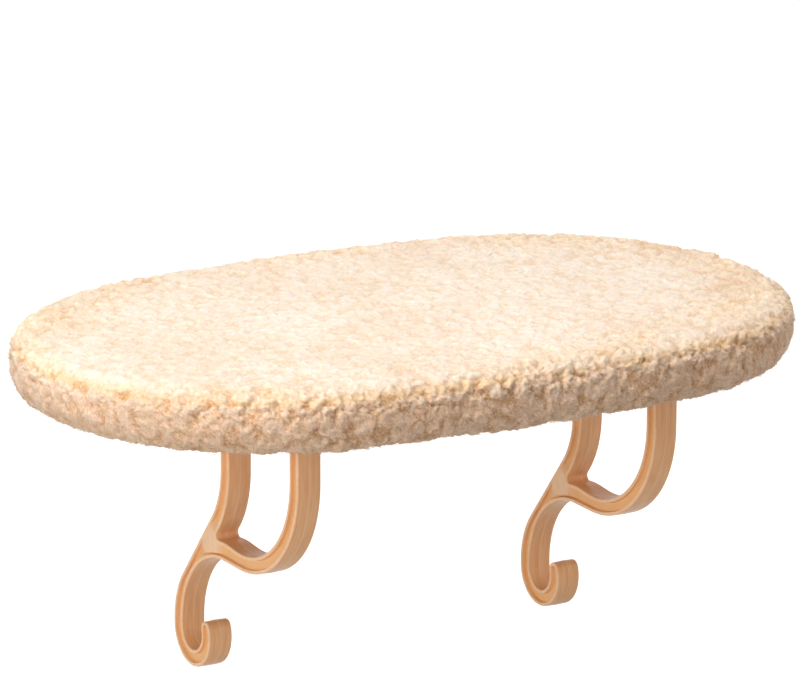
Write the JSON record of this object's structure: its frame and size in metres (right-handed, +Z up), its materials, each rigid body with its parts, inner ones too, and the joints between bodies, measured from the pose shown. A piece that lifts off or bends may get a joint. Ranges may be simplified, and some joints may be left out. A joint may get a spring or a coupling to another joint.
{
  "type": "window cat perch",
  "caption": "Oval padded shelf in a curly fleece cover that lies on a window sill on hook-and-loop strips, with scroll brackets that stand against the wall below.",
  "frame": {"origin": "centre of the front sill strip's sticky face, so the sill top is the plane Z = 0", "axes": "+Z up, +Y towards the window, +X to the right seen from the room, along the pad's length; the wall below the sill is the plane Y = -0.030 m"},
  "size_m": [0.61, 0.394, 0.2648],
  "materials": {
    "board": "matte",
    "foam": "matte",
    "fleece": "matte",
    "elastic": "matte",
    "bracket": "satin",
    "screw": "satin",
    "hook_tape": "matte",
    "loop_tape": "matte"
  },
  "bodies": {
    "sill_strips": {"loop_strip_front": "loop_tape", "loop_strip_rear": "loop_tape"},
    "perch": {"board": "board", "foam_pad": "foam", "bracket_left": "bracket", "bracket_right": "bracket", "bracket_screws_left": "screw", "bracket_screws_right": "screw", "hook_strip_front": "hook_tape", "hook_strip_rear": "hook_tape"},
    "cover": {"fleece_cover": "fleece", "cover_hem": "fleece", "hem_elastic": "elastic"}
  },
  "joints": [
    {"name": "perch_lift", "type": "slide", "parent": "sill_strips", "child": "perch", "axis": [0, 0, 1], "range_m": [0, 0.06]},
    {"name": "cover_pull", "type": "slide", "parent": "perch", "child": "cover", "axis": [0, 0, 1], "range_m": [0, 0.09], "deforming": ["cover_hem", "hem_elastic"]}
  ]
}
